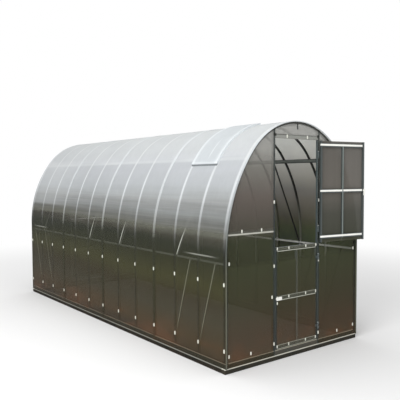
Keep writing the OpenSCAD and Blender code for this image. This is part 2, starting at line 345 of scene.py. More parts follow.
class ShaderSheet:
    """A material's node tree, with one method that adds any node."""

    def __init__(self, tree: bpy.types.NodeTree) -> None:
        """Empties the tree.

        Args:
            tree: The node tree of a material or a world.
        """
        self.tree = tree
        self.tree.nodes.clear()
        self.known: dict[Axis, Wire] = {}

    @property
    def place(self) -> Wire:
        """The point of the object that is being shaded."""
        return self.add("ShaderNodeTexCoord", {}, {}, "Object")

    def along(self, axis: Axis) -> Wire:
        """The distance along one of the named directions.

        Args:
            axis: The direction.

        Returns:
            The distance in metres; across the rim it is negative inside.
        """
        if axis not in self.known:
            self.known[axis] = self._measure(axis)
        return self.known[axis]

    def _measure(self, axis: Axis) -> Wire:
        """Adds the nodes that measure along a direction.

        Args:
            axis: The direction.

        Returns:
            The distance.
        """
        straight = {Axis.ACROSS: "X", Axis.LENGTH: "Y", Axis.HEIGHT: "Z"}
        if axis in straight:
            return self.add("ShaderNodeSeparateXYZ", {}, {0: self.place}, straight[axis])
        across = self.along(Axis.ACROSS)
        if axis is Axis.SIDE:
            return abs(across)
        if axis is Axis.END:
            half = (ARCHES.last - ARCHES.first) / 2
            return half - abs(self.along(Axis.LENGTH) - ARCHES.middle)
        if axis is Axis.LEAF:
            side, ahead = across - HINGE.x, self.along(Axis.LENGTH) - HINGE.y
            return (side * side + ahead * ahead) ** 0.5
        side, height = self.along(Axis.SIDE), self.along(Axis.HEIGHT)
        wall_x, wall_z = side + VAULT.side_offset, (height - VAULT.eave).at_least(0.0)
        crown_z = height - VAULT.crown_centre
        wall = (wall_x * wall_x + wall_z * wall_z) ** 0.5 - VAULT.side_radius
        crown = (side * side + crown_z * crown_z) ** 0.5 - VAULT.crown_radius
        share = (crown_z - side * math.tan(VAULT.blend_angle)).above(0.0, 0.004)
        return wall + share * (crown - wall)

    def node(
        self, kind: str, settings: dict[str, object], inputs: dict[Union[str, int], Term]
    ) -> bpy.types.ShaderNode:
        """Adds a node, sets it up and feeds its sockets.

        Args:
            kind: The node's type.
            settings: Its settings; "stops" are a ramp's places and colours.
            inputs: Values or wires by socket name or number.

        Returns:
            The new node.
        """
        made = self.tree.nodes.new(kind)
        for name, value in settings.items():
            if name == "stops":
                self._set_stops(made.color_ramp, value)
            else:
                setattr(made, name, value)
        for name, value in inputs.items():
            socket = made.inputs[name]
            if isinstance(value, Wire):
                self.tree.links.new(value.socket, socket)
            elif socket.type == "RGBA":
                socket.default_value = (*value, 1.0)
            else:
                socket.default_value = value
        return made

    def add(
        self,
        kind: str,
        settings: dict[str, object],
        inputs: dict[Union[str, int], Term],
        output: Union[str, int] = 0,
    ) -> Wire:
        """Adds a node and takes one of its outputs."""
        return Wire(self, self.node(kind, settings, inputs).outputs[output])

    @staticmethod
    def _set_stops(ramp: bpy.types.ColorRamp, stops: Tints) -> None:
        """Gives a ramp its stops.

        Args:
            ramp: The ramp.
            stops: Places from 0 to 1 with their colours, in order.
        """
        ramp.interpolation = "LINEAR"
        while len(ramp.elements) < len(stops):
            ramp.elements.new(1.0)
        for element, (position, colour) in zip(ramp.elements, stops):
            element.position = position
            element.color = (*colour, 1.0)

    def noise(self, scale: Point, detail: float = 2.0, roughness: float = 0.5) -> Wire:
        """Smooth noise from 0 to 1.

        Args:
            scale: Waves to a metre along each axis.
            detail: How many finer layers it has.
            roughness: How strong the finer layers are.

        Returns:
            The noise.
        """
        stretched = self.add("ShaderNodeMapping", {}, {"Vector": self.place, "Scale": scale})
        inputs = {"Vector": stretched, "Scale": 1.0, "Detail": detail, "Roughness": roughness}
        return self.add("ShaderNodeTexNoise", {}, inputs)

    def blend(self, share: Term, first: Term, second: Term) -> Wire:
        """A colour between first, at share 0, and second, at share 1."""
        return self.add("ShaderNodeMix", {"data_type": "RGBA"}, {0: share, 6: first, 7: second}, 2)

    def brighten(self, colour: Term, factor: Term) -> Wire:
        """A colour times a number."""
        inputs = {0: colour, "Scale": factor}
        return self.add("ShaderNodeVectorMath", {"operation": "SCALE"}, inputs)

    def colour_at(self, height: Wire, shades: Tints) -> Wire:
        """The colour that a table gives for a height."""
        stops = tuple((place / SHADE_TOP, colour) for place, colour in shades)
        return self.add("ShaderNodeValToRGB", {"stops": stops}, {0: height / SHADE_TOP}, "Color")

    def number_at(self, height: Wire, sizes: Levels) -> Wire:
        """The number that a table gives for a height."""
        return self.colour_at(height, tuple((place, (size,) * 3) for place, size in sizes))

    def bump(self, height: Term, distance: float, strength: float = 1.0) -> Wire:
        """A normal roughened by a height pattern."""
        inputs = {"Height": height, "Distance": distance, "Strength": strength}
        return self.add("ShaderNodeBump", {}, inputs, "Normal")

    def surface(self, **inputs: Term) -> Wire:
        """A Principled shader; names of two words are joined by an underscore."""
        named = {name.replace("_", " "): value for name, value in inputs.items()}
        return self.add("ShaderNodeBsdfPrincipled", {}, named)

    def finish(self, shader: Wire) -> None:
        """Sends a shader to the tree's output."""
        self.node("ShaderNodeOutputMaterial", {}, {"Surface": shader})


@dataclass(frozen=True)
class Band:
    """A stripe across one direction, with soft sides."""

    axis: Axis
    middle: float
    half: float
    soft: float = 0.004

    def mask(self, sheet: ShaderSheet) -> Wire:
        """A mask that is 1 inside the stripe."""
        return sheet.along(self.axis).within(self.middle, self.half, self.soft)


@dataclass(frozen=True)
class ArchBands:
    """A stripe over every arch."""

    half: float
    soft: float

    def mask(self, sheet: ShaderSheet) -> Wire:
        """A mask that is 1 over the arches."""
        step = ((sheet.along(Axis.LENGTH) - ARCHES.first) / ARCHES.pitch + 0.5).phase()
        return step.within(0.5, self.half / ARCHES.pitch, self.soft / ARCHES.pitch)


@dataclass(frozen=True)
class Slant:
    """A straight stripe up a long wall, from a foot to a head."""

    axis: Axis
    foot: tuple[float, float]
    head: tuple[float, float]
    half: float
    soft: float = 0.008
    end_soft: float = 0.02

    def mask(self, sheet: ShaderSheet) -> Wire:
        """Adds the nodes that draw the stripe.

        Args:
            sheet: The material's node tree.

        Returns:
            A mask that is 1 on the stripe.
        """
        run, rise = self.head[0] - self.foot[0], self.head[1] - self.foot[1]
        height = sheet.along(Axis.HEIGHT)
        along = sheet.along(self.axis) - self.foot[0]
        off = along - (height - self.foot[1]) * (run / rise)
        middle = (self.foot[1] + self.head[1]) / 2
        reach = height.within(middle, rise / 2, self.end_soft)
        return off.within(0.0, self.half, self.soft) * reach


Stripe = Union[Band, ArchBands, Slant]


@dataclass(frozen=True)
class PaintedMark:
    """A mark painted into a colour. Some stand for a tube that lies against a sheet, so
    that it shows through; others are painted highlights, painted shade and painted
    reflections.

    The mask is the product of the masks of all its stripes.
    """

    colour: Colour
    strength: float
    stripes: tuple[Stripe, ...]

    def mask(self, sheet: ShaderSheet) -> Wire:
        """Adds the nodes that draw the place.

        Args:
            sheet: The material's node tree.

        Returns:
            A mask of the place, as strong as the contact shows.
        """
        mask = self.stripes[0].mask(sheet)
        for stripe in self.stripes[1:]:
            mask = mask * stripe.mask(sheet)
        return mask * self.strength


def level(height: float, half: float, soft: float = 0.004) -> Band:
    """A level stripe at one height."""
    return Band(Axis.HEIGHT, height, half, soft)


def mark(code: str, strength: float, *stripes: Stripe) -> PaintedMark:
    """A painted mark in a six-digit display colour, where all its stripes cross."""
    return PaintedMark(shade(code), strength, stripes)


# ---------------------------------------------------------------- finishes


@dataclass(frozen=True)
class Finish:
    """A finish: a name, and a method that builds its material."""

    name: str

    def material(self) -> bpy.types.Material:
        """The finish's material, built once.

        Returns:
            The material.
        """
        made = bpy.data.materials.get(self.name)
        if made is None:
            made = bpy.data.materials.new(self.name)
            made.use_nodes = True
            self.paint(ShaderSheet(made.node_tree))
        return made

    def paint(self, sheet: ShaderSheet) -> None:
        """Builds the nodes of the material."""
        raise NotImplementedError


@dataclass(frozen=True)
class Glazing(Finish):
    """Twin-wall sheet, milky where it faces the sky, its colour by height painted light.

    The outer face of a roof sheet carries a painted reflection of the sky, and painted
    shade lower down where the sheet looks smoky. Its inner face, where there is an inner
    table, carries a painted darker view through the sheet, with painted shade.
    """

    # colours by height: painted sky reflection above, painted shade below
    tints: Tints
    covers: Levels
    contacts: tuple[PaintedMark, ...] = ()
    inner_view_and_shade: Tints = ()
    inner_covers: Levels = ()
    far_inner_cover: float = 0.95
    ior: float = 1.10
    milky: float = 0.0
    inner_milky: float = 0.20
    wander: float = 0.05
    tilt: float = 0.0
    ripple: float = 0.0
    # brown patches near the ground: partly dust on the sheet, partly a painted reflection of the
    # soil
    soil: float = 0.55
    dust_and_reflected_soil: str = "6A4A35"
    glow: str = "EFF0EF"
    flute: float = 0.011
    contact_cover: float = 0.92

    def horizon(self, sheet: ShaderSheet) -> Wire:
        """The height at which a point finds its tint, in gentle waves.

        Args:
            sheet: The material's node tree.

        Returns:
            The height, a little off the true one.
        """
        height = sheet.along(Axis.HEIGHT)
        streaks = sheet.noise((1.6, 0.45, 13.0), 2.0)
        clouds = sheet.noise((1.1, 0.7, 1.6))
        wavy = height + (streaks + clouds - 1.0) * self.wander
        if self.tilt:
            low = 1 - height.above(1.56, 0.16)
            wavy = wavy - sheet.along(Axis.LENGTH) * low * self.tilt
        return wavy

    def outer_colour(self, sheet: ShaderSheet, wavy: Wire, mottle: Wire) -> Wire:
        """The sheet's painted reflection and shade by height, before anything shows through it.

        Args:
            sheet: The material's node tree.
            wavy: The height at which the tint is read.
            mottle: Fine noise over the sheet.

        Returns:
            The colour.
        """
        height = sheet.along(Axis.HEIGHT)
        fibre = sheet.noise((34.0, 34.0, 0.7))
        light = 0.88 + mottle * 0.12 + fibre * 0.12
        if self.ripple:
            lines = sheet.noise((2.6, 0.6, 34.0), 3.0, 0.6) - 0.5
            light = light + lines * height.within(1.48, 0.22, 0.2) * self.ripple
        colour = sheet.brighten(sheet.colour_at(wavy, self.tints), light)
        # near the ground: brown patches, partly dust on the sheet and partly a painted reflection
        # of the soil
        low = 1 - height.above(0.27, 0.34)
        dust_and_reflected_soil_patches = sheet.noise((3.2, 1.3, 5.0), 4.0, 0.6).above(0.54, 0.16)
        return sheet.blend(low * dust_and_reflected_soil_patches * self.soil, colour, shade(self.dust_and_reflected_soil))

    def paint(self, sheet: ShaderSheet) -> None:
        """Builds the nodes of the material.

        Args:
            sheet: The material's empty node tree.
        """
        height = sheet.along(Axis.HEIGHT)
        wavy = self.horizon(sheet)
        mottle = sheet.noise((6.0, 6.0, 6.0), 3.0)
        colour = self.outer_colour(sheet, wavy, mottle)
        cover = sheet.number_at(wavy, self.covers)
        # painted marks: tubes that show through, and painted highlights, shade and reflections
        for contact in self.contacts:
            mask = contact.mask(sheet)
            colour = sheet.blend(mask, colour, contact.colour)
            cover = cover.at_least(mask * self.contact_cover)
        inside: Term = 0.0
        if self.inner_view_and_shade:
            inside = 1 - sheet.along(Axis.RIM).above(-0.002, 0.001)
            # the inner face shows a painted view through the sheet, with painted shade
            inner = sheet.colour_at(height, self.inner_view_and_shade)
            inner = sheet.brighten(inner, 0.85 + mottle * 0.3)
            colour = sheet.blend(inside, colour, inner)
            near = sheet.number_at(height, self.inner_covers)
            far = sheet.along(Axis.ACROSS).above(0.4, 0.4) * self.far_inner_cover
            cover = cover + inside * (near.at_least(far) - cover)
        flutes = (sheet.along(Axis.LENGTH) + sheet.along(Axis.ACROSS)) / self.flute
        ridges = abs(flutes.phase() - 0.5)
        body = sheet.surface(
            Base_Color=colour,
            Roughness=0.18 + height.above(1.5, 0.6) * 0.28 + mottle * 0.08,
            IOR=self.ior,
            Alpha=cover,
            Normal=sheet.bump(ridges + mottle * 0.5, 0.0004, 0.35),
        )
        if self.milky:
            glow = sheet.add("ShaderNodeBsdfTranslucent", {}, {"Color": shade(self.glow)})
            share = height.above(1.75, 1.1) * (self.milky + inside * self.inner_milky)
            body = sheet.add("ShaderNodeMixShader", {}, {0: share, 1: body, 2: glow})
        sheet.finish(body)


@dataclass(frozen=True)
class Paint(Finish):
    """Paint on steel tube, a little uneven, worn to another shade in places."""

    colour: str
    worn: str
    roughness: float = 0.45
    wear: float = 0.35
    grime: float = 0.25
    gloss: float = 1.45
    contacts: tuple[PaintedMark, ...] = ()
    dirt: str = "5B4C3C"

    def paint(self, sheet: ShaderSheet) -> None:
        """Builds the nodes of the material.

        Args:
            sheet: The material's empty node tree.
        """
        blotch = sheet.noise((7.0, 7.0, 7.0), 4.0, 0.6)
        scuffs = sheet.noise((38.0, 38.0, 38.0), 5.0, 0.7)
        worn = scuffs.above(0.62, 0.16) * self.wear
        colour = sheet.blend(worn, shade(self.colour), shade(self.worn))
        # painted marks on the tube, among them painted highlights and painted shade
        for contact in self.contacts:
            colour = sheet.blend(contact.mask(sheet), colour, contact.colour)
        colour = sheet.brighten(colour, 0.86 + blotch * 0.28)
        low = 1 - sheet.along(Axis.HEIGHT).above(0.18, 0.36)
        soil = low * blotch.above(0.45, 0.3) * self.grime
        colour = sheet.blend(soil, colour, shade(self.dirt))
        body = sheet.surface(
            Base_Color=colour,
            Roughness=self.roughness + (scuffs - 0.5) * 0.25 + soil * 0.4,
            IOR=self.gloss,
            Normal=sheet.bump(scuffs, 0.0006, 0.5),
        )
        sheet.finish(body)


@dataclass(frozen=True)
class Zinc(Finish):
    """Zinc-plated steel with a faint spangle."""

    colour: str = "CDD0CF"
    roughness: float = 0.34

    def paint(self, sheet: ShaderSheet) -> None:
        """Builds the nodes of the material.

        Args:
            sheet: The material's empty node tree.
        """
        cells = {"Vector": sheet.place, "Scale": 140.0}
        spangle = sheet.add("ShaderNodeTexVoronoi", {}, cells, "Distance")
        scratches = sheet.noise((260.0, 260.0, 30.0), 3.0)
        body = sheet.surface(
            Base_Color=sheet.brighten(shade(self.colour), 0.82 + spangle * 0.5),
            Roughness=self.roughness + (scratches - 0.5) * 0.22,
            Metallic=0.7,
            Normal=sheet.bump(scratches, 0.0002, 0.4),
        )
        sheet.finish(body)


@dataclass(frozen=True)
class EdgeMetal(Finish):
    """Thin coated edging with a painted reflection by height: dark by the walls, brighter towards
    the ridge.
    """

    tints: Tints

    def paint(self, sheet: ShaderSheet) -> None:
        """Builds the nodes of the material.

        Args:
            sheet: The material's empty node tree.
        """
        dents = sheet.noise((9.0, 9.0, 5.0), 3.0)
        rub = sheet.noise((60.0, 60.0, 60.0), 4.0, 0.6)
        colour = sheet.colour_at(sheet.along(Axis.HEIGHT), self.tints)
        body = sheet.surface(
            Base_Color=sheet.brighten(colour, 0.84 + dents * 0.2 + rub * 0.12),
            Roughness=0.42 + (rub - 0.5) * 0.2,
            IOR=1.25,
            Normal=sheet.bump(dents, 0.0005, 0.4),
        )
        sheet.finish(body)


@dataclass(frozen=True)
class MouldedPlastic(Finish):
    """Moulded plastic with a fine grain and slightly grubby hollows."""

    colour: str
    roughness: float = 0.38
    dirt: str = "8A8778"

    def paint(self, sheet: ShaderSheet) -> None:
        """Builds the nodes of the material.

        Args:
            sheet: The material's empty node tree.
        """
        grain = sheet.noise((420.0, 420.0, 420.0))
        grub = sheet.noise((55.0, 55.0, 55.0), 3.0)
        grubby = grub.above(0.6, 0.3) * 0.18
        body = sheet.surface(
            Base_Color=sheet.blend(grubby, shade(self.colour), shade(self.dirt)),
            Roughness=self.roughness + (grain - 0.5) * 0.12,
            Normal=sheet.bump(grain, 0.0002, 0.5),
        )
        sheet.finish(body)


@dataclass(frozen=True)
class StudioFloor(Finish):
    """A plain pale floor that keeps the shadow and fades to white far away."""

    colour: Colour = (0.86, 0.86, 0.86)
    white_from: float = 6.5
    fade: float = 6.0

    def paint(self, sheet: ShaderSheet) -> None:
        """Builds the nodes of the material.

        Args:
            sheet: The material's empty node tree.
        """
        matt = sheet.add("ShaderNodeBsdfDiffuse", {}, {"Color": self.colour})
        white = sheet.add("ShaderNodeEmission", {}, {"Color": (1.0, 1.0, 1.0)})
        side = sheet.along(Axis.ACROSS)
        ahead = sheet.along(Axis.LENGTH) - ARCHES.middle
        far = ((side * side + ahead * ahead) ** 0.5).above(self.white_from, self.fade)
        seen = sheet.add("ShaderNodeLightPath", {}, {}, "Is Camera Ray")
        sheet.finish(sheet.add("ShaderNodeMixShader", {}, {0: far * seen, 1: matt, 2: white}))


# ------------------------------------------------------------ mesh helpers


def linked(name: str, data: bpy.types.ID) -> bpy.types.Object:
    """Makes an object and adds it to the scene.

    Args:
        name: The object's name.
        data: Its mesh, lamp or camera.

    Returns:
        The new object, at the origin.
    """
    made = bpy.data.objects.new(name, data)
    bpy.context.scene.collection.objects.link(made)
    return made


class Sculptor:
    """A bmesh that ends as a piece riding on a body."""

    def __init__(self) -> None:
        """Starts with nothing."""
        self.mesh = bmesh.new()

    def box(self, size: Point, centre: Point, edge: float, segments: int = 2) -> None:
        """Adds a box with softened edges.

        Args:
            size: Its sides.
            centre: Its middle.
            edge: Width of the bevel on its edges.
            segments: How many faces round an edge.
        """
        made = bmesh.ops.create_cube(self.mesh, size=1.0)["verts"]
        bmesh.ops.scale(self.mesh, vec=size, verts=made)
        bmesh.ops.translate(self.mesh, vec=centre, verts=made)
        self.bevel(self.edges_of(made), edge, segments)

    def bolt_head(self, width: float, height: float, base: Point) -> None:
        """Adds a six-sided head, its axis along Z.

        Args:
            width: Distance from corner to corner.
            height: How far it stands up.
            base: The middle of its foot.
        """
        half = width / 2
        made = bmesh.ops.create_cone(
            self.mesh, cap_ends=True, segments=6, radius1=half, radius2=half, depth=height
        )["verts"]
        bmesh.ops.translate(self.mesh, vec=Vector(base) + Vector((0, 0, height / 2)), verts=made)
        self.bevel(self.edges_of(made), height * 0.15, 1)

    @staticmethod
    def edges_of(verts: Iterable[bmesh.types.BMVert]) -> list[bmesh.types.BMEdge]:
        """Every edge that meets some vertices, each once and in order."""
        return list(dict.fromkeys(edge for vert in verts for edge in vert.link_edges))

    def bevel(self, edges: Iterable[bmesh.types.BMEdge], width: float, segments: int = 2) -> None:
        """Rounds some edges.

        Args:
            edges: The edges.
            width: How far the rounding reaches from each edge.
            segments: How many faces it has.
        """
        bmesh.ops.bevel(
            self.mesh, geom=list(edges), offset=width, offset_type="OFFSET", affect="EDGES",
            segments=segments, profile=0.5, material=-1,
        )

    def stamp(self, other: "Sculptor", places: Iterable[Matrix]) -> None:
        """Adds a copy of another shape at each place.

        Args:
            other: The shape to repeat, which is used up.
            places: Where each copy goes.
        """
        data = bpy.data.meshes.new("stamp")
        other.mesh.to_mesh(data)
        for place in places:
            before = len(self.mesh.verts)
            self.mesh.from_mesh(data)
            self.mesh.verts.ensure_lookup_table()
            bmesh.ops.transform(self.mesh, matrix=place, verts=self.mesh.verts[before:])
        bpy.data.meshes.remove(data)
        other.mesh.free()

    def piece(self, name: str, finish: Finish, body: Body, slot: Slot) -> bpy.types.Object:
        """Turns the shape into a piece.

        Args:
            name: The piece's name.
            finish: What it is finished with.
            body: What it rides on.
            slot: Not used.

        Returns:
            The new object, at the origin.
        """
        bmesh.ops.recalc_face_normals(self.mesh, faces=self.mesh.faces)
        data = bpy.data.meshes.new(name)
        self.mesh.to_mesh(data)
        self.mesh.free()
        data.materials.append(finish.material())
        made = linked(name, data)
        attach(made, body.value)
        log.info("piece %s: %d faces, rides on %s", name, len(data.polygons), body.value)
        return made


# -------------------------------------------------------------- fasteners


@dataclass(frozen=True)
class CladdingScrew:
    """A self-drilling screw on an oblong moulded washer, its axis along +Z."""

    width: float
    length: float
    thickness: float = 0.004
    head_width: float = 0.009
    head_height: float = 0.004
    head_sink: float = 0.0005
    rounding: float = 0.45
    corners: int = 16

    def shape(self) -> Sculptor:
        """Builds the washer and the screw's head.

        Returns:
            The shape, with its back at z = 0 and its length along Y.
        """
        made = Sculptor()
        mesh = made.mesh
        ring = bmesh.ops.create_circle(
            mesh, cap_ends=True, radius=self.width / 2, segments=self.corners
        )
        for side in (-1, 1):
            half = [v for v in ring["verts"] if v.co.y * side > 1e-6]
            shift = (0, side * (self.length - self.width) / 2, 0)
            bmesh.ops.translate(mesh, vec=shift, verts=half)
        raised = bmesh.ops.extrude_face_region(mesh, geom=list(mesh.faces))
        top = [e for e in raised["geom"] if isinstance(e, bmesh.types.BMVert)]
        bmesh.ops.translate(mesh, vec=(0, 0, self.thickness), verts=top)
        rim = [e for e in mesh.edges if all(v.co.z > self.thickness / 2 for v in e.verts)]
        made.bevel(rim, self.thickness * self.rounding)
        made.bolt_head(self.head_width, self.head_height, (0, 0, self.thickness - self.head_sink))
        return made


class Facing(Enum):
    """Which way a fastener points."""

    FRONT = Matrix(((1, 0, 0), (0, 0, -1), (0, 1, 0)))
    BACK = Matrix(((-1, 0, 0), (0, 0, 1), (0, 1, 0)))
    LEFT = Matrix(((0, 0, -1), (-1, 0, 0), (0, 1, 0)))
    RIGHT = Matrix(((0, 0, 1), (1, 0, 0), (0, 1, 0)))

    def at(self, place: Point) -> Matrix:
        """The matrix that puts a fastener at a place, facing this way."""
        return Matrix.Translation(place) @ self.value.to_4x4()


WASHER = MouldedPlastic("washer_plastic", "DFE0D6")


@dataclass(frozen=True)
class Screws:
    """Screws of one size, made as one piece for each part that they hold."""

    screw: CladdingScrew

    def piece(self, name: str, places: Iterable[Matrix], body: Body = Body.BUILDING) -> None:
        """Builds one piece.

        Args:
            name: The piece's name.
            places: Where each screw goes.
            body: What the piece rides on.
        """
        made = Sculptor()
        made.stamp(self.screw.shape(), places)
        made.piece(name, WASHER, body, Slot.HARDWARE)


@dataclass(frozen=True)
class WallScrews(Screws):
    """Two rows of screws that hold the sheets to every arch, on both long walls."""

    screw: CladdingScrew = CladdingScrew(width=0.018, length=0.040)
    rows: tuple[float, float] = (0.868, 0.222)

    def skin(self, number: int) -> float:
        """Distance of the outermost face over an arch from the middle."""
        return high_of("joint_strips").x if ARCHES.joint(number) else VAULT.half_width

    def build(self) -> None:
        """Builds one piece for each long wall."""
        for facing, side, name in ((Facing.LEFT, -1, "left"), (Facing.RIGHT, 1, "right")):
            places = [
                facing.at((side * self.skin(number), ARCHES.place(number), height))
                for number in range(ARCHES.bays + 1)
                for height in self.rows
            ]
            self.piece(f"wall_screws_{name}", places)


@dataclass(frozen=True)
class GableScrews(Screws):
    """Screws through the gable sheets into the arch, rails, posts and bars."""

    screw: CladdingScrew = CladdingScrew(width=0.017, length=0.036)
    corner: tuple[float, float] = (0.954, 0.165)
    shoulder: tuple[float, float] = (0.950, 1.068)
    foot: tuple[float, float] = (0.667, 0.142)
    bar_places: tuple[float, float] = (0.785, 0.521)
    bar_height: float = 1.372
    post_heights: tuple[float, ...] = (0.176, 0.986, 1.645)
    post_inset: float = 0.010
    header_place: float = 0.155
    latch_stop: tuple[float, float] = (-0.372, 0.668)

    def spots(self) -> list[tuple[float, float]]:
        """Places the screws of one gable.

        Returns:
            Where they go, across and up.
        """
        post = high_of("gable_posts").x - self.post_inset
        right = [self.corner, self.shoulder, self.foot]
        right += [(place, self.bar_height) for place in self.bar_places]
        right += [(post, height) for height in self.post_heights]
        right += [(self.header_place, middle_of("gable_headers").z)]
        return [(side * x, z) for x, z in right for side in (-1, 1)] + [self.latch_stop]

    def build(self) -> None:
        """Builds one piece for each gable."""
        front, back = low_of("front_sheet_left").y, high_of("back_sheets").y
        for facing, y, name in ((Facing.FRONT, front, "front"), (Facing.BACK, back, "back")):
            self.piece(f"gable_screws_{name}", [facing.at((x, y, z)) for x, z in self.spots()])


@dataclass(frozen=True)
class LeafScrews(Screws):
    """Screws along the rails of the leaves, and of the back door."""

    screw: CladdingScrew = CladdingScrew(width=0.014, length=0.032)
    places: tuple[float, ...] = (-0.298, -0.125, 0.136, 0.298)
    rise: float = 0.006
    latch_spot: tuple[float, float] = (-0.297, 0.592)
    upper_swing: float = -math.radians(limits_of("upper_leaf_hinge")[0])

    def spots(self, rails: LeafRails) -> list[tuple[float, float]]:
        """Where the screws go across and up one leaf."""
        return [(x, z + self.rise) for z in rails.heights() for x in self.places]

    def build(self) -> None:
        """Builds a piece for each leaf and one for the back door."""
        turn = Matrix.Translation(HINGE) @ Matrix.Rotation(self.upper_swing, 4, "Z")
        turn = turn @ Matrix.Translation(-HINGE)
        lower, upper = self.spots(LOWER_RAILS), self.spots(UPPER_RAILS)
        leaves = (
            (Body.LOWER_LEAF, Matrix(), lower + [self.latch_spot]),
            (Body.UPPER_LEAF, turn, upper),
        )
        for body, swing, spots in leaves:
            places = [swing @ Facing.FRONT.at((x, 0.0, z)) for x, z in spots]
            self.piece(f"{body.value}_screws", places, body)
        face = high_of("back_leaf_sheets").y
        self.piece("back_leaf_screws", [Facing.BACK.at((x, face, z)) for x, z in lower + upper])


# ------------------------------------------------------------ sheet trims


@dataclass
class EdgeTrim:
    """A folded metal edging round the end of the roof sheets, over both gables."""

    reach: float = 0.002
    width: float = 0.011
    proud: float = 0.0015
    depth: float = 0.0075
    steps_wall: int = 24
    steps_crown: int = 40
    finish: Finish = EdgeMetal(
        "edge_metal",
        # painted reflection: the ground by the walls, the sky towards the ridge
        tints(
            (0.05, "56574C"), (1.00, "55574C"), (1.20, "4C514D"), (1.32, "6A6E6B"),
            (1.48, "848887"), (1.70, "9CA1A3"), (1.95, "B6BBBE"), (2.25, "C9CED1"),
            (2.49, "D5D9DB"),
        ),
    )

    def sweep(self, low_y: float) -> Sculptor:
        """Sweeps the section from one foot over the ridge to the other.

        Args:
            low_y: The front of the section.

        Returns:
            The swept edging.
        """
        made = Sculptor()
        mesh = made.mesh
        grid = bmesh.ops.create_grid(mesh, x_segments=1, y_segments=1, size=0.5)
        outer, inner = VAULT.half_width + self.proud, VAULT.half_width - self.depth
        bmesh.ops.scale(mesh, vec=(outer - inner, self.width, 1.0), verts=grid["verts"])
        centre = ((outer + inner) / 2, low_y + self.width / 2, VAULT.foot)
        bmesh.ops.translate(mesh, vec=centre, verts=grid["verts"])
        end = list(mesh.faces)
        end = self._extrude(mesh, end, (0, 0, VAULT.eave - VAULT.foot))
        offset, blend = VAULT.side_offset, VAULT.blend_angle
        for x, z, angle, steps in (
            (-offset, VAULT.eave, blend, self.steps_wall),
            (0, VAULT.crown_centre, math.pi - 2 * blend, self.steps_crown),
            (offset, VAULT.eave, blend, self.steps_wall),
        ):
            end = self._spin(mesh, end, (x, 0, z), angle, steps)
        self._extrude(mesh, end, (0, 0, VAULT.foot - VAULT.eave))
        bmesh.ops.remove_doubles(mesh, verts=mesh.verts, dist=1e-6)
        inner = [f for f in mesh.faces if all(len(e.link_faces) > 2 for e in f.edges)]
        bmesh.ops.delete(mesh, geom=inner, context="FACES_ONLY")
        return made

    @staticmethod
    def _extrude(mesh: bmesh.types.BMesh, end: list, shift: Point) -> list:
        """Pulls the end face on.

        Args:
            mesh: The mesh.
            end: Its end face.
            shift: How far and where to.

        Returns:
            The new end face.
        """
        made = bmesh.ops.extrude_face_region(mesh, geom=end)["geom"]
        verts = [e for e in made if isinstance(e, bmesh.types.BMVert)]
        bmesh.ops.translate(mesh, vec=shift, verts=verts)
        return [e for e in made if isinstance(e, bmesh.types.BMFace)]

    @staticmethod
    def _spin(mesh: bmesh.types.BMesh, end: list, centre: Point, angle: float, steps: int) -> list:
        """Turns the end face about a line along Y.

        Args:
            mesh: The mesh.
            end: Its end face.
            centre: A point on the line.
            angle: How far it turns.
            steps: How many faces that takes.

        Returns:
            The new end face.
        """
        turned = bmesh.ops.spin(
            mesh, geom=end, cent=centre, axis=(0, -1, 0), dvec=(0, 0, 0), angle=angle,
            steps=steps, use_merge=False, use_duplicate=False,
        )
        return [e for e in turned["geom_last"] if isinstance(e, bmesh.types.BMFace)]

    def build(self) -> None:
        """Builds the edging over the front and the back."""
        front = low_of("roof_sheet_1").y - self.reach
        back = high_of("roof_sheet_4").y + self.reach - self.width
        for low_y, name in ((front, "edge_trim_front"), (back, "edge_trim_back")):
            self.sweep(low_y).piece(name, self.finish, Body.BUILDING, Slot.STRIP)


@dataclass
class ApexBracket:
    """A small hanger under the top of each end arch, with its bolt."""

    width: float = 0.016
    height: float = 0.058
    thickness: float = 0.004
    bolt: Point = (0.009, 0.004, 0.009)
    bolt_drop: float = 0.72
    edge: float = 0.0012
    finish: Finish = Paint("bracket_paint", "2C302F", "50544F")

    def build(self) -> None:
        """Builds both hangers."""
        made = Sculptor()
        top = high_of("front_arch").z - ARCHES.end_tube
        front, back = low_of("front_sheet_top").y, high_of("back_sheets").y
        for y, side in ((front, -1), (back, 1)):
            centre = (0, y + side * self.thickness / 2, top - self.height / 2)
            made.box((self.width, self.thickness, self.height), centre, self.edge)
            out = self.thickness + self.bolt[1] / 2
            made.box(self.bolt, (0, y + side * out, top - self.height * self.bolt_drop), self.edge)
        made.piece("apex_brackets", self.finish, Body.BUILDING, Slot.DARK_FRAME)


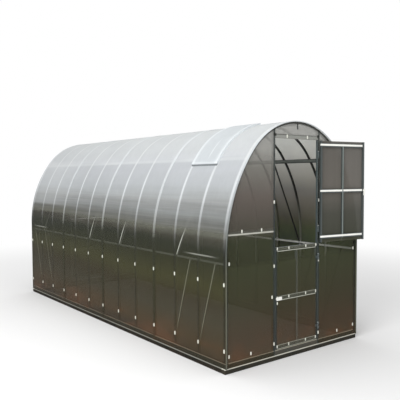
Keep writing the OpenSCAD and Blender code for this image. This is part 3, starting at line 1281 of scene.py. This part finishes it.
@dataclass
class PurlinClips:
    """Saddle clips that hold the eave purlins to the arches."""

    wing: float = 0.016
    plate: float = 0.002
    depth: float = 0.022
    bolt: Point = (0.0035, 0.008, 0.008)
    bolt_place: float = 0.0017
    edge: float = 0.0006
    bolt_edge: float = 0.001
    finish: Finish = Zinc("clip_zinc")

    def clip(self) -> Sculptor:
        """Builds one clip round a purlin that runs along Y, on its -X side.

        Returns:
            The clip, with the middle of the purlin at the origin.
        """
        tube = high_of("eave_purlins").z - low_of("eave_purlins").z
        half, plate = tube / 2, self.plate
        made = Sculptor()
        back = (plate, self.depth, tube + 2 * plate)
        made.box(back, (-half - plate / 2, 0, 0), self.edge, 1)
        for side in (-1, 1):
            lift = side * (half + plate / 2)
            made.box((tube, self.depth, plate), (0, 0, lift), self.edge, 1)
            lift = side * (half + plate + self.wing / 2)
            wing = (plate, self.depth, self.wing)
            made.box(wing, (half - plate / 2, 0, lift), self.edge, 1)
            made.box(self.bolt, (half - plate - self.bolt_place, 0, lift), self.bolt_edge, 1)
        return made

    def build(self) -> None:
        """Builds the clips of both walls as one piece."""
        low, high = low_of("eave_purlins"), high_of("eave_purlins")
        places = []
        for side in (-1, 1):
            flip = Matrix.Scale(-1, 4, (1, 0, 0)) if side < 0 else Matrix()
            x, z = side * (high.x - (high.z - low.z) / 2), (low.z + high.z) / 2
            for number in range(1, ARCHES.bays):
                places.append(Matrix.Translation((x, ARCHES.place(number), z)) @ flip)
        made = Sculptor()
        made.stamp(self.clip(), places)
        made.piece("purlin_clips", self.finish, Body.BUILDING, Slot.HARDWARE)


# ------------------------------------------------------------------ studio


@dataclass
class Studio:
    """Floor, light and camera."""

    eye: Point = (-4.3689, -4.0101, 1.9094)
    turn: float = math.radians(37.607)
    tilt: float = math.radians(-2.752)
    roll: float = math.radians(-0.272)
    focal: float = 49.685
    sensor: float = 36.0
    far_clip: float = 200.0
    shift: tuple[float, float] = (-0.0038, 0.0076)
    sky: float = 0.74
    floor_size: float = 60.0
    floor_drop: float = 0.002

    def camera(self) -> None:
        """Places the camera at eye height by the front corner."""
        data = bpy.data.cameras.new("camera")
        data.lens = self.focal
        data.sensor_width = self.sensor
        data.shift_x, data.shift_y = self.shift
        data.clip_end = self.far_clip
        made = linked("camera", data)
        flat = math.cos(self.tilt)
        sideways, onward = math.sin(self.turn), math.cos(self.turn)
        forward = Vector((sideways * flat, onward * flat, math.sin(self.tilt)))
        flat_right = Vector((onward, -sideways, 0.0))
        upward = flat_right.cross(forward)
        right = math.cos(self.roll) * flat_right + math.sin(self.roll) * upward
        up = right.cross(forward)
        axes = Matrix((right, up, -forward)).transposed().to_4x4()
        made.matrix_world = Matrix.Translation(self.eye) @ axes
        bpy.context.scene.camera = made

    def floor(self) -> None:
        """Lays the floor under the building."""
        mesh = bmesh.new()
        bmesh.ops.create_grid(mesh, x_segments=1, y_segments=1, size=self.floor_size / 2)
        bmesh.ops.translate(mesh, vec=(0, ARCHES.middle, -self.floor_drop), verts=mesh.verts)
        data = bpy.data.meshes.new("studio_floor")
        mesh.to_mesh(data)
        mesh.free()
        data.materials.append(StudioFloor("studio_floor").material())
        linked("studio_floor", data)

    def world(self) -> None:
        """Lights the scene from all round, and shows white behind it."""
        world = bpy.data.worlds.new("studio")
        bpy.context.scene.world = world
        world.use_nodes = True
        sheet = ShaderSheet(world.node_tree)
        path = sheet.node("ShaderNodeLightPath", {}, {})
        seen, gloss, through = (
            Wire(sheet, path.outputs[f"Is {kind} Ray"])
            for kind in ("Camera", "Glossy", "Transmission")
        )
        white = seen.at_least(gloss).at_least(through)
        strength = self.sky + white * (1.0 - self.sky)
        inputs = {"Color": (1.0, 1.0, 1.0), "Strength": strength}
        light = sheet.add("ShaderNodeBackground", {}, inputs)
        sheet.node("ShaderNodeOutputWorld", {}, {"Surface": light})

    def lamp(self, name: str, place: Point, aim: Point, size: float, power: float) -> None:
        """Adds a large soft lamp.

        Args:
            name: The lamp's name.
            place: Where it hangs.
            aim: What it points at.
            size: Length of its sides.
            power: Its power in watts.
        """
        data = bpy.data.lights.new(name, "AREA")
        data.shape = "SQUARE"
        data.size = size
        data.energy = power
        turn = (Vector(aim) - Vector(place)).to_track_quat("-Z", "Y").to_matrix().to_4x4()
        linked(name, data).matrix_world = Matrix.Translation(place) @ turn

    def build(self) -> None:
        """Sets up the whole studio."""
        bpy.context.scene.view_settings.view_transform = "Standard"
        self.camera()
        self.floor()
        self.world()
        self.lamp("key_lamp", (-8.5, -2.5, 6.0), (-0.5, 2.0, 1.0), 6.0, 700.0)
        self.lamp("top_lamp", (-1.0, 3.0, 8.5), (0.0, 2.5, 1.0), 6.0, 150.0)


# --------------------------------------------------------------- dressing

# Outer face of the roof sheets by height: painted sky reflection over the roof, painted shade of
# the dark surroundings lower down.
ROOF_REFLECTION_AND_SHADE = tints(
    (0.05, "3A332A"), (0.20, "463B2A"), (0.45, "3F3C2F"), (0.62, "3A3528"), (0.80, "41402B"),
    (1.05, "333329"), (1.20, "30312D"), (1.27, "474540"), (1.33, "66675F"), (1.42, "747675"),
    (1.52, "8C9091"), (1.65, "A1A4A5"), (1.75, "B3B8BB"), (1.85, "BABFC4"), (2.00, "C3C8CF"),
    (2.07, "C4CAD1"), (2.10, "D2D7DE"), (2.20, "CED3D9"), (2.48, "D8DDE2"),
)
# Joint strips by height: painted sky reflection above, painted shade below.
STRIP_REFLECTION_AND_SHADE = tints(
    (0.05, "3E382B"), (0.80, "3D3E2C"), (1.20, "3E4036"), (1.32, "888A84"), (1.52, "B6B9B9"),
    (1.75, "D0D4D6"), (2.10, "E2E6E9"), (2.48, "E6EAED"),
)
# Inner face of the roof sheets: a painted view through the sheet, painted shade low down and the
# lit underside painted pale up high.
INNER_VIEW_AND_SHADE = tints(
    (0.05, "5A4A38"), (0.45, "5A5140"), (1.10, "4A5634"), (1.25, "58603A"), (1.40, "68624A"),
    (1.60, "72684F"), (1.75, "786D5A"), (1.88, "A89F86"), (2.00, "BCB29B"), (2.12, "E8DFCC"),
    (2.25, "FFFAE8"), (2.48, "FFFAE8"),
)
# Gable sheets: a painted view of the dark inside through the sheet, with painted shade.
GABLE_VIEW_AND_SHADE = tints(
    (0.05, "584C3C"), (0.30, "4F4335"), (0.60, "474434"), (1.00, "474A37"), (1.25, "494C39"),
    (1.40, "59554D"), (1.70, "6F6761"), (2.00, "807E78"), (2.20, "A3A29D"), (2.45, "ABABA7"),
)
# Open upper leaf's sheet: a painted view through it, with painted shade.
LEAF_VIEW_AND_SHADE = tints(
    (1.10, "4A4B3A"), (1.30, "4D4E45"), (1.50, "51514A"), (1.80, "6E6A64"), (2.30, "696661"),
)
# Vent pane: a painted sky reflection.
VENT_SKY_REFLECTION = tints((1.90, "C8CDD1"), (2.20, "CCD1D4"), (2.50, "D2D7DA"))

ROOF_COVERS = ((0.10, 0.76), (0.80, 0.74), (1.05, 0.68), (1.55, 0.68), (1.80, 0.82), (2.50, 0.84))
INNER_COVERS = ((0.10, 0.78), (0.95, 0.76), (1.10, 0.62), (1.60, 0.62), (1.90, 0.85), (2.50, 0.85))
GABLE_COVERS = (
    (0.10, 0.76), (0.60, 0.72), (1.00, 0.66), (1.06, 0.32),
    (1.28, 0.32), (1.36, 0.66), (2.00, 0.54), (2.50, 0.52),
)
BACK_COVERS = ((0.10, 0.80), (1.00, 0.86), (1.40, 0.86), (2.00, 0.70), (2.50, 0.60))
LEAF_COVERS = ((1.1, 0.86), (2.5, 0.86))
VENT_COVERS = ((0.0, 0.97), (2.5, 0.97))


@dataclass
class Dresser:
    """Gives every node of the frame its finish."""

    pale: str = "F2F6F9"
    dark: str = "2B2C27"
    slate: str = "3B4241"
    # near-white painted highlight on the rails of the leaves
    hot: str = "F6F6F0"
    leg_half: float = 0.006
    stile_offset: float = 0.308
    rim_gap: float = 0.004
    arris: float = 0.005
    upper_braces: tuple[int, ...] = (2, 5, 7)
    brace_lean: float = 0.205

    def brace_contacts(self) -> tuple[PaintedMark, ...]:
        """Shows the lower braces through the roof sheets.

        Returns:
            A contact for each brace.
        """
        fading = level(0.72, 0.42, 0.30)
        slants = (Slant(Axis.END, foot, head, 0.004) for foot, head in BRACES.low_lines())
        return tuple(mark("8A8B7C", 0.8, slant, fading) for slant in slants)

    def brace_feet(self) -> Iterable[PaintedMark]:
        """Shows the upper braces where they lie close behind the sheets, over the eave.

        Yields:
            A contact for each foot.
        """
        fading = level(1.19, 0.13, 0.18)
        for side in (-1, 1):
            wall = Band(Axis.ACROSS, side * 1.0, 0.3)
            for number in self.upper_braces:
                foot = ARCHES.place(number) + side * 0.040
                head = foot + side * self.brace_lean
                slant = Slant(Axis.LENGTH, (foot, 1.08), (head, 1.48), 0.007, 0.007)
                yield mark("CACCC4", 0.85, slant, fading, wall)

    def front_glint(self) -> PaintedMark:
        """A painted glint along the flange of the eave purlin in the first two bays."""
        return mark("A9AAA2", 0.8, level(1.119, 0.006, 0.014), Band(Axis.END, 0.37, 0.20, 0.26))

    def far_reflection_and_shade(self) -> tuple[PaintedMark, ...]:
        """Paints a sky reflection and shade that sharpen the step from dark to light towards
        the back of the long walls.

        Returns:
            A painted reflection patch over a painted shade patch.
        """
        return (
            # painted sky reflection reaching lower towards the back
            mark("EEF2F4", 0.22, level(1.82, 0.33, 0.05), Band(Axis.LENGTH, 5.2, 1.4, 1.6)),
            # painted shade under it
            mark("2A2B28", 0.5, level(1.24, 0.13, 0.03), Band(Axis.LENGTH, 4.9, 1.0, 1.0)),
        )

    def roof_contacts_and_light(self) -> tuple[PaintedMark, ...]:
        """Shows the tubes through the roof sheets, with painted light: a painted reflection
        and shade towards the back, a painted glint, and painted highlights on the arches,
        the purlin and the foot rail.

        Returns:
            The contacts, the first one lowest.
        """
        wall, roof, knot = level(0.6, 0.56, 0.3), level(2.6, 1.08, 0.8), level(1.070, 0.028, 0.030)
        return (
            *self.far_reflection_and_shade(),
            mark(self.dark, 0.8, ArchBands(self.leg_half, 0.006), wall),
            # the arches show through the roof, painted paler than the tube as a sky-lit highlight
            mark(self.pale, 0.8, ArchBands(ARCHES.tube * 0.85, 0.016), roof),
            mark("585A51", 0.6, level(1.068, 0.006, 0.012)),
            self.front_glint(),
            *self.brace_feet(),
            mark(self.dark, 0.5, ArchBands(0.012, 0.010), knot),
            # the roof purlin shows through as a pale band, painted lighter than the tube as a
            # highlight
            mark(self.pale, 0.3, level(middle_of("roof_purlins").z, 0.016, 0.020)),
            # painted highlight on the foot rail's top edge
            mark("8C8474", 0.6, level(0.100, 0.004)),
            mark("33342B", 0.75, level(0.073, 0.021, 0.006)),
            *self.brace_contacts(),
        )

    def vent_marks_and_highlights(self) -> tuple[PaintedMark, ...]:
        """Softens the vent's edges, draws the faint line down its middle and paints a
        highlight along the pane's lower edge.

        Returns:
            The contacts.
        """
        low, high = low_of("vent_frame").y, high_of("vent_frame").y
        sides = [Band(Axis.LENGTH, y, 0.020, 0.050) for y in (low + 0.018, high - 0.018)]
        middle = Band(Axis.LENGTH, (low + high) / 2 - 0.033, 0.006, 0.018)
        return (
            *(mark(self.pale, 0.6, side) for side in sides),
            mark(self.pale, 0.8, middle, level(2.21, 0.09, 0.1)),
            # painted highlight along the vent pane's lower edge
            mark(self.pale, 0.35, level(low_of("vent_pane").z + 0.012, 0.009, 0.008)),
        )

    def gable_contacts_and_highlights(self) -> tuple[PaintedMark, ...]:
        """Shows the tubes through the gable sheets, with painted highlights along the
        edges of the cross bar, the header, the posts and the foot rails, and painted shade
        over the cross bar.

        Returns:
            The contacts, the first one lowest.
        """
        half = ARCHES.end_tube / 2
        post, post_x = middle_of("gable_posts"), high_of("gable_posts").x - half
        bar, header = middle_of("gable_cross_bars").z, middle_of("gable_headers").z
        beside, over = Band(Axis.SIDE, 0.65, 0.31), Band(Axis.SIDE, 0.0, 0.328)
        high, knots = level(post.z, post.z), level(header + 0.012, 0.016, 0.014)
        return (
            # painted highlight on the cross bar's lower half
            mark("D8D8CE", 0.85, level(bar - 0.011, 0.008), beside),
            # painted shade on the cross bar's upper half
            mark("5E5D55", 0.6, level(bar + 0.009, 0.010), beside),
            mark("A1A39D", 0.85, level(header - 0.002, 0.017), over),
            mark("4B4C46", 0.5, level(header + 0.014, 0.004), over),
            # painted highlight along the header's lower edge
            mark("B9B8B0", 0.6, level(header - 0.018, 0.003), over),
            mark(self.slate, 0.85, Band(Axis.SIDE, post_x, half, 0.003), high),
            # painted highlight along the post's edge
            mark("7F8682", 0.6, Band(Axis.SIDE, post_x - 0.012, 0.002, 0.003), high),
            mark(self.dark, 0.8, Band(Axis.SIDE, post_x - 0.01, 0.020, 0.010), knots),
            mark("3B3C38", 0.85, Band(Axis.RIM, -half - self.rim_gap, half, 0.003)),
            # painted highlight on the foot rail's top edge
            mark("A39C8A", 0.7, level(0.099, 0.004), beside),
            mark("3C3D31", 0.75, level(0.073, 0.020, 0.006), beside),
        )

    def leaf_contacts_and_highlights(
        self,
        rails: LeafRails,
        halo: float = 0.012,
        inset: float = 0.0,
        axis: Axis = Axis.LEAF,
        middle: float = LEAF_MIDDLE,
    ) -> tuple[PaintedMark, ...]:
        """Shows the tubes through a leaf's sheet, with painted highlights along the top
        and bottom edges of the rails.

        Args:
            rails: The leaf's rails.
            halo: Width of the soft sides of the upright's mark.
            inset: How far the marks of the rails stay inside the rails.
            axis: The direction that runs across the leaf.
            middle: The leaf's middle along it.

        Returns:
            The contacts.
        """
        across = Band(axis, middle, 0.296)
        contacts = [mark("6C6E66", 0.6, Band(axis, middle, 0.008 + halo / 4, halo))]
        half = rails.width / 2 - inset
        for rail in rails.heights():
            contacts += [
                mark("5A5C50", 0.7, level(rail, half, 0.003), across),
                # painted highlights along the rail's top and bottom edges
                mark("B4B6AA", 0.8, level(rail + half, 0.003), across),
                mark("C9CBC0", 0.9, level(rail - half, 0.004), across),
            ]
        for stile in (middle - self.stile_offset, middle + self.stile_offset):
            contacts.append(mark(self.slate, 0.8, Band(axis, stile, 0.010, 0.003)))
        return tuple(contacts)

    def rail_highlights(self, rails: LeafRails) -> tuple[PaintedMark, ...]:
        """Paints highlights along the rails of a leaf's frame and dulls its mullion.

        Args:
            rails: The leaf's rails.

        Returns:
            The contacts.
        """
        across = Band(Axis.LEAF, 0.319, 0.293)
        # painted highlights along the rails
        lights = [mark(self.hot, 1.0, level(z + 0.003, 0.010), across) for z in rails.heights()]
        crossing = Band(Axis.LEAF, LEAF_MIDDLE, 0.009, 0.003), level(rails.heights()[1], 0.02)
        return (
            mark("7D8682", 1.0, Band(Axis.LEAF, LEAF_MIDDLE, 0.006, 0.002)),
            *lights,
            mark("6A7374", 0.8, *crossing),
        )

    def glazings(self) -> dict[str, Finish]:
        """Finishes the sheets.

        Returns:
            The finishes by the start of the nodes' names.
        """
        strip_line = mark(self.dark, 0.6, ArchBands(self.leg_half, 0.008), level(0.6, 0.56, 0.3))
        gable = Glazing("gable_glazing", GABLE_VIEW_AND_SHADE, GABLE_COVERS, self.gable_contacts_and_highlights())
        back = replace(gable, name="back_glazing", covers=BACK_COVERS)
        place = {"axis": Axis.ACROSS, "middle": 0.0}
        shut = self.leaf_contacts_and_highlights(LOWER_RAILS, **place) + self.leaf_contacts_and_highlights(UPPER_RAILS, **place)
        lower = self.leaf_contacts_and_highlights(LOWER_RAILS)
        upper = self.leaf_contacts_and_highlights(UPPER_RAILS, 0.002, 0.005)
        vent = self.vent_marks_and_highlights()
        return {
            "roof_sheet": Glazing(
                "roof_glazing", ROOF_REFLECTION_AND_SHADE, ROOF_COVERS, self.roof_contacts_and_light(),
                INNER_VIEW_AND_SHADE, INNER_COVERS, milky=0.35, wander=0.11, tilt=0.016, ripple=0.9,
            ),
            "vent_pane": Glazing("vent_glazing", VENT_SKY_REFLECTION, VENT_COVERS, vent, milky=0.35),
            "joint_strips": Glazing(
                "joint_strip", STRIP_REFLECTION_AND_SHADE, ROOF_COVERS, (strip_line,), milky=0.3
            ),
            "front_sheet": gable,
            "back_sheets": back,
            "back_leaf_sheets": replace(back, name="back_leaf_glazing", contacts=shut),
            "lower_leaf_sheet": replace(gable, name="lower_leaf_glazing", contacts=lower),
            "upper_leaf_sheet": Glazing(
                "upper_leaf_glazing", LEAF_VIEW_AND_SHADE, LEAF_COVERS, upper, wander=0.08
            ),
        }

    def base_paint(self, name: str, lip: str, body: str) -> Paint:
        """Dull dark paint with a painted highlight along its upper lip."""
        # painted highlight along the lip
        line = mark(lip, 1.0, level(0.047, 0.004, 0.002))
        return Paint(name, body, "3A3D37", 0.7, 0.25, 0.15, 1.2, (line,))

    def tubes(self) -> dict[str, Finish]:
        """Finishes the frame's tubes.

        Returns:
            The finishes by the start of the nodes' names.
        """
        arch = Paint("end_arch_paint", "343331", "5B5852")
        bar = Paint("bar_paint", "B9BBB2", "8D8F88")
        # painted light: the arches' legs are lighter up to about 1.5 m
        lit_legs = mark("9A9C8E", 0.9, level(1.10, 0.40, 0.5))
        # painted highlight on the foot rail's top edge
        rail_top_highlight = mark("C8C2B0", 0.9, level(0.099, 0.004, 0.002))
        low, high = low_of("roof_purlins").z, high_of("roof_purlins").z
        edges = (low + self.arris, high - self.arris)
        # painted shade along the top and bottom edges of the roof purlins
        shaded_arrises = tuple(mark("33383A", 0.9, level(z, self.arris)) for z in edges)
        # painted shadow along the foot of the vent frame
        vent_foot_shadow = mark("4E5557", 0.9, level(low_of("vent_frame").z + 0.008, 0.012, 0.008))
        lower = self.rail_highlights(LOWER_RAILS)
        # painted shade on the hinge-side stile of the upper leaf
        stile = mark("2F3636", 0.9, Band(Axis.LEAF, 0.010, 0.020))
        upper = (stile, *self.rail_highlights(UPPER_RAILS))
        return {
            # lit and shaded copies of one paint: the sides painted in shade, the ends lit
            "base_sides": self.base_paint("shaded_base_side_paint", "8F9089", "161713"),
            "base_ends": self.base_paint("lit_base_end_paint", "D2D1C6", "2A2B26"),
            "foot_rails": Paint("foot_rail_paint", "35362E", "54554B", contacts=(rail_top_highlight,)),
            "front_arch": arch,
            "back_arch": arch,
            "arch_": Paint("arch_paint", "31302D", "5B5852", contacts=(lit_legs,)),
            # painted light: the eave purlins are painted near white as if lit through the roof
            "eave_purlins": Paint("lit_eave_paint", "FFFFFB", "E6E7E0", 0.35, 0.15, 0.0),
            "roof_purlins": Paint("purlin_paint", "8C928C", "A5AAA4", contacts=shaded_arrises),
            "ridge_purlin": Paint("ridge_paint", "5C605C", "7E827D"),
            # lit and shaded copies of one paint: the left braces painted lit, the right ones in
            # shade
            "braces_left": Paint("lit_brace_paint", "ECEDE6", "B9BAB2", wear=0.2),
            "braces_right": Paint("shaded_brace_paint", "2E2D29", "57554C"),
            "gable_posts": Paint("post_paint", "40494A", "6A7172"),
            "gable_headers": bar,
            "gable_cross_bars": bar,
            "back_leaf_frames": bar,
            "vent_frame": Paint(
                "vent_paint", "DDE2E5", "C0C4C5", wear=0.2, contacts=(vent_foot_shadow,)
            ),
            "lower_leaf_frame": Paint("lower_leaf_paint", "6A7274", "8B9192", contacts=lower),
            "upper_leaf_frame": Paint(
                "upper_leaf_paint", "454B4A", "626867", wear=0.15, contacts=upper
            ),
        }

    def fittings(self) -> dict[str, Finish]:
        """Finishes the door furniture.

        Returns:
            The finishes by the start of the nodes' names.
        """
        hinge = Paint("hinge_paint", "4A5354", "7D8584", roughness=0.35)
        white = MouldedPlastic("latch_plastic", "F4F4EE")
        hinges = ("lower_leaf_hinges", "upper_leaf_hinges", "post_hinges", "back_door_fittings")
        return {
            **dict.fromkeys(hinges, hinge),
            **dict.fromkeys(("lower_latch", "upper_latch"), white),
            "hinge_pins": Zinc("zinc"),
        }

    def build(self) -> None:
        """Puts a finish on each node."""
        plan = {**self.glazings(), **self.tubes(), **self.fittings()}
        for name, node in frame["nodes"].items():
            start = max((key for key in plan if name.startswith(key)), key=len)
            for place in node.material_slots:
                place.material = plan[start].material()
            log.info("node %s: %s", name, plan[start].name)


def main() -> None:
    """Builds the scene in order."""
    logging.basicConfig(level=logging.INFO, format="%(name)s: %(message)s")
    Studio().build()
    Dresser().build()
    parts = WallScrews(), GableScrews(), LeafScrews(), EdgeTrim(), ApexBracket(), PurlinClips()
    for part in parts:
        part.build()


if __name__ == "__main__":
    main()
